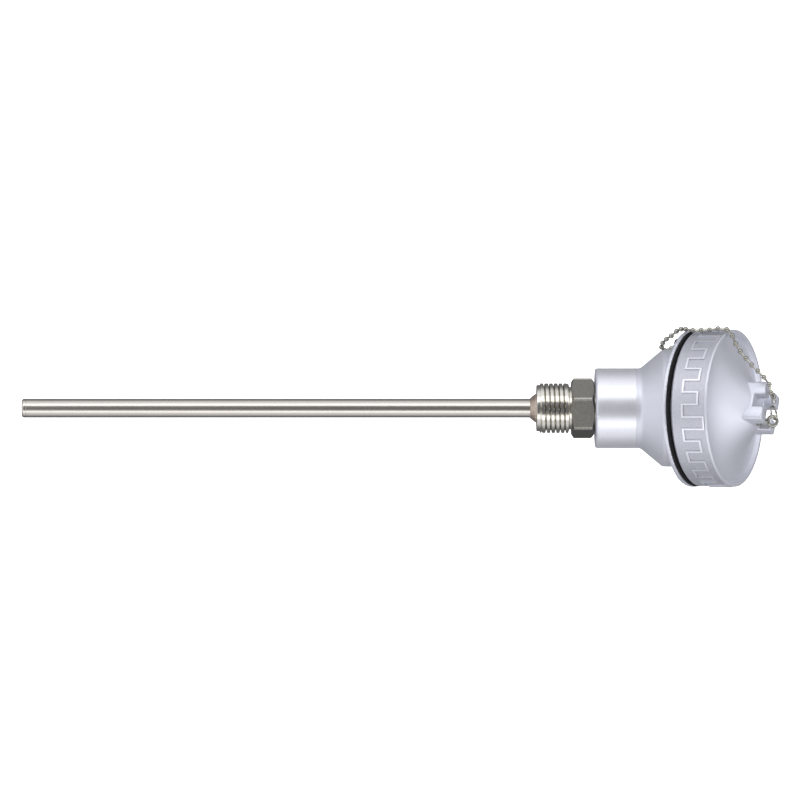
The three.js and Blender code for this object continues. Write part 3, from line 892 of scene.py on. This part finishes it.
class THERMO_OT_fitting(bpy.types.Operator):
    """Makes the fitting with its process thread, hexagon and spigot"""

    bl_idname = "thermo.fitting"
    bl_label = "Process Fitting"

    def execute(self, context):
        sizes = context.scene.thermometer_probe
        bore = sizes.tube_radius + 0.1 * MM
        start_x = -sizes.thread_length
        crest, relief = sizes.thread_radius, sizes.thread_radius - 1.15 * MM
        land, runout = start_x + 1.15 * MM, -0.9 * MM
        outline = [(bore, start_x), (crest - 0.55 * MM, start_x, 0.2 * MM), (crest - 0.5 * MM, land - 0.1 * MM)]
        outline += rows(crest, land, runout, 0.075 * MM)
        outline += [
            (relief, runout + 0.35 * MM), (relief, 0.4 * MM), (sizes.spigot_radius, 0.5 * MM),
            (sizes.spigot_radius, sizes.spigot_end, 0.5 * MM), (bore, sizes.spigot_end),
        ]
        fitting = turned("fitting", outline, steps=144, closed=True)
        cut_thread(fitting, ON_PROBE, crest, sizes.thread_pitch, sizes.thread_depth, land, runout)
        corner_turn = math.radians(13)
        nut = hexagon("hexagon", sizes.hex_flats, 0, sizes.hex_length, corner_turn, ON_PROBE)
        soften(nut, 0.34 * MM, 3, 20)
        combine(nut, rod("bore", bore + 0.5 * MM, -MM, sizes.hex_length + MM, ON_PROBE, 96), "DIFFERENCE")
        combine(fitting, nut, "UNION")
        dress(fitting, "fitting", "root", "process_fitting", 28)
        return {"FINISHED"}


class THERMO_OT_head(bpy.types.Operator):
    """Casts the head with its neck, bowl, flange, collar, cable entry and chain pad"""

    bl_idname = "thermo.head"
    bl_label = "Connection Head"

    voxel = 0.4 * MM

    def outside(self, s):
        """The casting's outer form, joined from turned shapes."""
        far = 70 * MM
        body = turned("casting", [
            (0, s.neck_start), (s.neck_radius, s.neck_start, 0.3 * MM), (s.neck_radius, s.neck_end, 1.5 * MM),
            (s.bowl_radius - 0.15 * MM, 28.8 * MM, 0.15 * MM), (s.bowl_radius, 30 * MM, MM),
            (s.bowl_radius, far), (0, far),
        ], steps=128)
        edit(body)
        bpy.ops.mesh.bisect(
            plane_co=CAP_CENTRE - CAP_AXIS * 0.3 * MM, plane_no=CAP_AXIS, use_fill=True, clear_outer=True
        )
        finish_edit()
        back = -s.flange_thickness
        flange = turned("flange", [
            (0, back - 3.2 * MM), (s.bowl_radius - 0.6 * MM, back - 3.2 * MM),
            (s.bowl_radius + 1.1 * MM, back - 0.9 * MM, 1.5 * MM), (s.flange_radius - 2.6 * MM, back, 1.2 * MM),
            (s.flange_radius, back), (s.flange_radius, 0), (0, 0),
        ], ON_CAP, 144)
        entry = turned("entry", [
            (0, 14 * MM), (s.entry_radius + 0.9 * MM, 14 * MM), (s.entry_radius + 0.6 * MM, 20 * MM, 2 * MM),
            (s.entry_radius, 26 * MM, 2 * MM), (s.entry_radius, s.entry_end, 0.6 * MM), (0, s.entry_end),
        ], ON_ENTRY, 96)
        pad = turned("pad", [
            (0, 16 * MM), (3.6 * MM, 16 * MM), (2.7 * MM, 19.2 * MM, MM), (2.7 * MM, 20.4 * MM, 0.4 * MM),
            (0, 20.4 * MM),
        ], ON_PAD, 48)
        for part in (flange, entry, pad):
            combine(body, part, "UNION")
        return body

    def fillets(self, body, s):
        """Flows the casting's joints together: strongly in its corners, hardly on its edges."""
        apply_modifier(body, "REMESH", mode="VOXEL", voxel_size=self.voxel, adaptivity=0)
        group = body.vertex_groups.new(name="corners")
        to_cap = ON_CAP.inverted()
        for vertex in body.data.vertices:
            spot = to_cap @ vertex.co
            radius = math.hypot(spot.x, spot.y)
            behind = -s.flange_thickness - spot.z
            under_flange = radius < s.flange_radius - 1.6 * MM and -0.2 * MM < behind < 6 * MM
            entry_radius = math.hypot(vertex.co.x - ENTRY_X, vertex.co.y)
            at_entry = entry_radius < s.entry_radius + 4 * MM and -24 * MM < vertex.co.z < -8 * MM
            at_pad = abs(vertex.co.y - 18.4 * MM) < 1.6 * MM and abs(vertex.co.x - PAD_X) < 5 * MM
            in_corner = under_flange or at_entry or at_pad
            group.add([vertex.index], 1.0 if in_corner else 0.12, "REPLACE")
        apply_modifier(body, "SMOOTH", factor=0.5, iterations=14, vertex_group="corners")
        apply_modifier(body, "DECIMATE", ratio=0.5)
        body.vertex_groups.clear()

    def hollow(self, body, s):
        """Bores the terminal chamber, the neck, the cable entry and the pad."""
        far = 70 * MM
        chamber = rod("chamber", s.chamber_radius, s.chamber_floor, far, ON_PROBE, 96)
        edit(chamber)
        bpy.ops.mesh.bisect(
            plane_co=CAP_CENTRE + CAP_AXIS * MM, plane_no=CAP_AXIS, use_fill=True, clear_outer=True
        )
        finish_edit()
        neck = turned("neck_bore", [
            (0, s.neck_start - MM), (6.75 * MM, s.neck_start - MM), (6.75 * MM, 18 * MM),
            (6.2 * MM, 18 * MM), (6.2 * MM, s.chamber_floor + MM), (0, s.chamber_floor + MM),
        ], ON_PROBE, 64)
        entry = turned("entry_bore", [
            (0, 9 * MM), (s.cable_bore, 9 * MM), (s.cable_bore, s.entry_step), (s.entry_bore, s.entry_step),
            (s.entry_bore, s.entry_end - 0.5 * MM), (s.entry_bore + 0.6 * MM, s.entry_end + 0.1 * MM),
            (0, s.entry_end + 0.1 * MM),
        ], ON_ENTRY, 64)
        screw = rod("pad_bore", 1.15 * MM, 16.8 * MM, 21 * MM, ON_PAD, 24)
        for tool in (chamber, neck, entry, screw):
            combine(body, tool, "DIFFERENCE")

    def collar(self, s):
        """The threaded collar that the cap screws on to."""
        low, high = -0.8 * MM, s.collar_height
        outline = [(s.collar_bore, low), (s.collar_radius - 0.9 * MM, low), (s.collar_radius - 0.9 * MM, 1.0 * MM)]
        outline += rows(s.collar_radius, 1.3 * MM, high - 0.5 * MM, 0.1 * MM)
        outline += [(s.collar_radius - 0.6 * MM, high), (s.collar_bore, high, 0.4 * MM)]
        collar = turned("collar", outline, ON_CAP, 144, closed=True)
        cut_thread(collar, ON_CAP, s.collar_radius, s.collar_pitch, 0.75 * MM, 1.3 * MM, high - 0.5 * MM)
        return collar

    def execute(self, context):
        sizes = context.scene.thermometer_head
        body = self.outside(sizes)
        self.fillets(body, sizes)
        self.hollow(body, sizes)
        combine(body, rod("mouth", sizes.collar_bore, -0.7 * MM, 4 * MM, ON_CAP, 144), "DIFFERENCE")
        body.name = "casting"
        dress(body, "head", "root", "head_body", 40)
        collar = self.collar(sizes)
        dress(collar, "cast", "root", "head_body")
        return {"FINISHED"}


class THERMO_OT_cap(bpy.types.Operator):
    """Makes the screw cap: rim with a key pattern, dome and slotted boss"""

    bl_idname = "thermo.cap"
    bl_label = "Screw Cap"

    wall_rows = 17
    wall_low = 2.0 * MM
    wall_high = 12.8 * MM

    def dome_height(self, s, radius):
        """Height of the outer face at a radius: a flat dish that rises like a bell."""
        outer, inner, power = s.cap_bore, 6.4 * MM, 1.8
        rise = min(1, max(0, (outer - radius) / (outer - inner)))
        return s.dish + (s.dome - s.dish) * rise**power

    def shell(self, s, columns):
        """The cap's rim and dome, inside and out."""
        step = (self.wall_high - self.wall_low) / self.wall_rows
        outer = [(0, s.dome)]
        count = 26
        for index in range(count + 1):
            radius = 6.2 * MM + (s.cap_bore - 6.2 * MM) * index / count
            outer.append((radius, self.dome_height(s, radius)))
        outer += [
            (s.cap_bore + 0.55 * MM, s.dish + 0.35 * MM), (s.cap_radius - 1.25 * MM, s.cap_front, 0.35 * MM),
            (s.cap_radius + 0.2 * MM, s.cap_front, 0.45 * MM), (s.cap_radius + 0.2 * MM, self.wall_high + 0.15 * MM),
        ]
        outer += rows(s.cap_radius, self.wall_low, self.wall_high, step)[::-1]
        outer += [(s.cap_radius - 0.7 * MM, s.cap_back), (s.cap_bore, s.cap_back)]
        inner = [(s.cap_bore, s.dish - 2 * MM, 0.6 * MM)]
        for index in range(1, 9):
            radius = s.cap_bore + (4 * MM - s.cap_bore) * index / 8
            inner.append((radius, self.dome_height(s, radius + 1.2 * MM) - 2 * MM))
        inner.append((0, s.dome - 2.1 * MM))
        return turned("cap_shell", outer + inner, Matrix.Identity(4), columns)

    def raise_key(self, cap, s, columns):
        """Raises the key pattern by pulling faces out of the wall, square by square."""
        per_step = columns // s.key_steps
        step = (self.wall_high - self.wall_low) / self.wall_rows
        back_row, front_row, tall_row = 5, 13, self.wall_rows - 1
        first_line = 5

        def on_key(centre, normal):
            radius = math.hypot(centre.x, centre.y)
            row = math.floor((centre.z - self.wall_low) / step)
            if abs(radius - s.cap_radius) > 0.1 * MM or not 0 <= row < self.wall_rows:
                return False
            column = math.floor(math.atan2(centre.y, centre.x) / (2 * PI) * columns) - first_line
            line, offset = divmod(column % columns, per_step)
            crest = line % 2 == 0
            tall = (line // 2) % 4 == 0
            top = tall_row if tall else front_row
            if offset == 0:
                before_tall = ((line - 1) % s.key_steps // 2) % 4 == 0
                reach = top if crest else (tall_row if before_tall else front_row)
                return back_row <= row <= reach
            return row == (top if crest else back_row)

        pick(cap, on_key)
        bpy.ops.mesh.extrude_region_shrink_fatten(
            TRANSFORM_OT_shrink_fatten={"value": s.key_height, "use_even_offset": True}
        )
        finish_edit()

    def boss(self, s):
        """The square boss with crossed slots and rounded edges."""
        half, foot = s.boss_half, 18.2 * MM
        boss = start("cube", "boss", size=2 * half, location=(0, 0, foot + half))
        settle(boss)
        pick(boss, lambda centre, normal: normal.z > 0.9)
        bpy.ops.transform.translate(value=(0, 0, s.boss_top - foot - 2 * half))
        finish_edit()
        pick(boss, lambda low, high: abs(low.z - high.z) > MM, "EDGE")
        bpy.ops.mesh.bevel(offset=0.7 * MM, segments=2)
        finish_edit()
        wide = 2 * half
        slot = s.boss_slot / 2
        for reach in ((slot, wide), (wide, slot)):
            cutter = bar("slot", (-reach[0], -reach[1], s.boss_floor), (*reach, s.boss_top + MM))
            combine(boss, cutter, "DIFFERENCE")
        soften(boss, 0.42 * MM, 3, 30)
        return settle(boss, Matrix.Rotation(s.boss_turn, 4, "Z"))

    def execute(self, context):
        sizes = context.scene.thermometer_head
        columns = 8 * sizes.key_steps
        cap = self.shell(sizes, columns)
        self.raise_key(cap, sizes, columns)
        combine(cap, self.boss(sizes), "UNION")
        hole = rod("eye_hole", 0.95 * MM, 20.3 * MM, 22.9 * MM, Matrix.Translation((1.9 * MM, 4.1 * MM, 0)), 24)
        combine(cap, hole, "DIFFERENCE")
        settle(cap, ON_CAP)
        cap.name = "screw_cap"
        dress(cap, "cap", "cap", "lid", 30)
        return {"FINISHED"}


class THERMO_OT_gasket(bpy.types.Operator):
    """Turns the rubber gasket between flange and cap"""

    bl_idname = "thermo.gasket"
    bl_label = "Flange Gasket"

    def execute(self, context):
        sizes = context.scene.thermometer_head
        inner, outer = sizes.collar_radius + 0.4 * MM, sizes.flange_radius - 0.15 * MM
        gasket = turned("gasket", [
            (inner, 0.12 * MM, 0.2 * MM), (outer, 0.12 * MM, 0.35 * MM),
            (outer, 1.05 * MM, 0.3 * MM), (inner, 1.05 * MM, 0.2 * MM),
        ], ON_CAP, 144, closed=True)
        dress(gasket, "rubber", "cap_carrier", "flange_gasket")
        return {"FINISHED"}


class THERMO_OT_fastenings(bpy.types.Operator):
    """Makes the eye screw, split ring and clasp on the cap and the screw and eyelet on the head"""

    bl_idname = "thermo.fastenings"
    bl_label = "Chain Fastenings"

    def eye(self, sizes):
        """A screw with a round eye."""
        radius, wire = sizes.eye_radius, sizes.eye_wire / 2
        eye = start(
            "torus", "eye", major_radius=radius, minor_radius=wire, major_segments=48, minor_segments=16,
            rotation=(0, PI / 2, 0),
        )
        settle(eye, Matrix.Translation((1.9 * MM, 4.1 * MM, 26.9 * MM)))
        shank = turned("shank", [
            (0, 20.6 * MM), (0.75 * MM, 20.6 * MM, 0.2 * MM), (0.75 * MM, 22 * MM), (1.4 * MM, 22.1 * MM, 0.2 * MM),
            (1.4 * MM, 22.8 * MM, 0.3 * MM), (0.7 * MM, 23.4 * MM, 0.4 * MM), (0.6 * MM, 25.4 * MM), (0, 25.4 * MM),
        ], Matrix.Translation((1.9 * MM, 4.1 * MM, 0)), 32)
        combine(eye, shank, "UNION")
        return settle(eye, ON_CAP)

    def split_ring(self, sizes):
        """Two turns of round wire, one above the other."""
        wire = sizes.ring_wire / 2
        ring = start(
            "circle", "ring", vertices=12, radius=wire * 0.84, fill_type="NOTHING",
            location=(sizes.ring_radius, 0, 0), rotation=(PI / 2, 0, 0),
        )
        settle(ring)
        apply_modifier(
            ring, "SCREW", angle=4 * PI, screw_offset=wire * 1.7, steps=112, render_steps=112, axis="Z",
            use_merge_vertices=True,
        )
        edit(ring)
        bpy.ops.mesh.select_all(action="DESELECT")
        bpy.ops.mesh.select_non_manifold()
        bpy.ops.mesh.edge_face_add()
        bpy.ops.mesh.select_all(action="SELECT")
        bpy.ops.mesh.normals_make_consistent(inside=False)
        finish_edit()
        lean = Matrix.Rotation(0.25, 4, "X")
        centre = Matrix.Translation((2.1 * MM, 1.4 * MM, 27.6 * MM))
        return settle(ring, ON_CAP @ centre @ lean @ Matrix.Translation((0, 0, -wire * 1.7)))

    def clasp(self):
        """The cup that holds the chain's last bead, with a loop for the ring."""
        near, far = Vector((2.4, -1.6, 27.7)) * MM, Vector((2.9, -4.6, 26.8)) * MM
        along = far - near
        matrix = ON_CAP @ place(near, along, (0, 0, 1))
        length = along.length
        cup = turned("clasp", [
            (0, 0.9 * MM), (0.34 * MM, 0.9 * MM), (0.42 * MM, 1.2 * MM, 0.2 * MM), (0.84 * MM, 1.75 * MM, 0.3 * MM),
            (0.84 * MM, length, 0.12 * MM), (0.62 * MM, length),
            (0.55 * MM, length - 0.5 * MM), (0, length - 0.7 * MM),
        ], matrix, 32)
        loop = start(
            "torus", "loop", major_radius=0.62 * MM, minor_radius=0.2 * MM, major_segments=28, minor_segments=10,
            rotation=(PI / 2, 0, 0), location=(0, 0, 0.45 * MM),
        )
        settle(loop, matrix)
        return combine(cup, loop, "UNION")

    def head_screw(self):
        """A slotted pan-head screw in the pad."""
        low, seat, top = 17.2 * MM, 21.0 * MM, 22.2 * MM
        screw = turned("pad_screw", [
            (0, low), (MM, low, 0.2 * MM), (MM, seat), (2 * MM, seat, 0.15 * MM), (2 * MM, seat + 0.5 * MM, 0.3 * MM),
            (1.2 * MM, top - 0.1 * MM, 0.5 * MM), (0, top),
        ], ON_PAD, 48)
        slot = bar("slot", (-3 * MM, -0.25 * MM, top - 0.65 * MM), (3 * MM, 0.25 * MM, top + MM), ON_PAD)
        combine(screw, slot, "DIFFERENCE")
        return soften(screw, 0.05 * MM, 2, 50)

    def eyelet(self):
        """A flat eyelet with a flat tail that reaches towards the chain's last bead."""
        seat, thick = 20.45 * MM, 0.5 * MM
        eyelet = turned("eyelet", [
            (1.15 * MM, seat), (2.2 * MM, seat, 0.1 * MM),
            (2.2 * MM, seat + thick, 0.1 * MM), (1.15 * MM, seat + thick),
        ], ON_PAD, 48, closed=True)
        tail = bar("tail", (-5.3 * MM, -0.8 * MM, seat), (-1.6 * MM, 0.8 * MM, seat + thick), ON_PAD)
        combine(eyelet, tail, "UNION")
        return soften(eyelet, 0.1 * MM, 2, 50)

    def execute(self, context):
        sizes = context.scene.thermometer_chain
        dress(self.eye(sizes), "nickel", "cap", "lid_eye_screw", 40)
        dress(self.split_ring(sizes), "nickel", "cap", "split_ring", 40)
        dress(self.clasp(), "nickel", "cap", "lid_chain_clasp", 40)
        dress(self.head_screw(), "nickel", "root", "chain_screw")
        dress(self.eyelet(), "nickel", "root", "chain_eyelet")
        return {"FINISHED"}


class THERMO_OT_gland(bpy.types.Operator):
    """Makes the gland nut, its washer and the rubber bush"""

    bl_idname = "thermo.gland"
    bl_label = "Cable Gland"

    def execute(self, context):
        s = context.scene.thermometer_head
        seat, outer = s.entry_step, s.entry_bore - 0.3 * MM
        bush = turned("bush", [
            (3.5 * MM, seat + 0.1 * MM), (outer, seat + 0.1 * MM, 0.4 * MM),
            (outer, seat + 4.1 * MM, 0.4 * MM), (3.5 * MM, seat + 4.1 * MM, 0.5 * MM),
        ], ON_ENTRY, 64, closed=True)
        dress(bush, "rubber", "root", "cable_bush")
        washer = turned("washer", [
            (4.3 * MM, seat + 4.3 * MM, 0.15 * MM), (outer, seat + 4.3 * MM, 0.15 * MM),
            (outer, seat + 5.1 * MM, 0.15 * MM), (4.3 * MM, seat + 5.1 * MM, 0.15 * MM),
        ], ON_ENTRY, 64, closed=True)
        dress(washer, "nickel", "gland_carrier", "gland_washer")
        self.nut(s, seat + 5.3 * MM, outer)
        return {"FINISHED"}

    def nut(self, s, shank_start, outer):
        """The hollow hexagon nut with its threaded shank."""
        face = s.entry_end + 0.3 * MM
        end = face + s.gland_hex
        outline = [(s.gland_hole, shank_start), (outer - 0.5 * MM, shank_start)]
        outline += rows(outer, shank_start + 0.4 * MM, face - 0.2 * MM, 0.1 * MM)
        outline += [(outer - 0.7 * MM, face), (outer - 0.7 * MM, face + MM), (s.gland_hole, face + MM)]
        shank = turned("shank", outline, ON_ENTRY, 96, closed=True)
        cut_thread(shank, ON_ENTRY, outer, 1.5 * MM, 0.7 * MM, shank_start + 0.4 * MM, face - 0.2 * MM)
        nut = hexagon("gland", s.gland_flats, face, end, 0, ON_ENTRY)
        hole = turned("hole", [
            (0, face - MM), (s.gland_hole, face - MM), (s.gland_hole, end - 0.9 * MM),
            (s.gland_hole + 1.1 * MM, end + 0.2 * MM), (0, end + 0.2 * MM),
        ], ON_ENTRY, 96)
        combine(nut, hole, "DIFFERENCE")
        soften(nut, 0.25 * MM, 2, 28)
        combine(nut, shank, "UNION")
        nut.name = "gland_hexagon"
        dress(nut, "cast", "gland", "gland_nut", 28)


class THERMO_OT_insides(bpy.types.Operator):
    """Finishes the terminals, leads and insulators inside"""

    bl_idname = "thermo.insides"
    bl_label = "Insides"

    starts = (
        ("terminal_block", "ceramic"), ("terminal_screw", "brass"), ("terminal_plate", "brass"),
        ("clamp_washer", "nickel"), ("block_", "steel"), ("lead_wire", "nickel"),
        ("lead_insulator", "ceramic"), ("sensing_element", "ceramic"), ("tube_seal", "rubber"),
    )

    def execute(self, context):
        for name, node in frame["nodes"].items():
            finish = next((finish for text, finish in self.starts if name.startswith(text)), None)
            if finish:
                node.data.materials.clear()
                node.data.materials.append(FINISHES[finish])
        return {"FINISHED"}


class THERMO_PT_panel(bpy.types.Panel):
    """Lists the operators in the sidebar"""

    bl_idname = "THERMO_PT_panel"
    bl_label = "Thermometer"
    bl_space_type = "VIEW_3D"
    bl_region_type = "UI"
    bl_category = "Thermometer"

    def draw(self, context):
        for name in OPERATORS:
            self.layout.operator(name)
        for group in ("probe", "head", "chain", "colours"):
            self.layout.label(text=group.title())
            settings = getattr(context.scene, f"thermometer_{group}")
            for key in settings.bl_rna.properties.keys():
                if key not in ("rna_type", "name"):
                    self.layout.prop(settings, key)


OPERATORS = (
    "thermo.stage", "thermo.chain", "thermo.probe", "thermo.fitting", "thermo.head",
    "thermo.cap", "thermo.gasket", "thermo.fastenings", "thermo.gland", "thermo.insides",
)
GROUPS = {
    "thermometer_probe": ProbeSizes, "thermometer_head": HeadSizes,
    "thermometer_chain": ChainSizes, "thermometer_colours": FinishColours,
}
CLASSES = (
    *GROUPS.values(), THERMO_OT_stage, THERMO_OT_chain, THERMO_OT_probe, THERMO_OT_fitting,
    THERMO_OT_head, THERMO_OT_cap, THERMO_OT_gasket, THERMO_OT_fastenings, THERMO_OT_gland,
    THERMO_OT_insides, THERMO_PT_panel,
)


def register():
    """Adds the classes and the settings of the scene."""
    for item in CLASSES:
        bpy.utils.register_class(item)
    for name, group in GROUPS.items():
        setattr(bpy.types.Scene, name, PointerProperty(type=group))


def unregister():
    """Removes what register added."""
    for name in GROUPS:
        delattr(bpy.types.Scene, name)
    for item in reversed(CLASSES):
        bpy.utils.unregister_class(item)


def main():
    """Registers the add-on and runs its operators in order."""
    register()
    prepare_finishes(bpy.context)
    for name in OPERATORS:
        group, operator = name.split(".")
        getattr(getattr(bpy.ops, group), operator)()


if __name__ == "__main__":
    main()
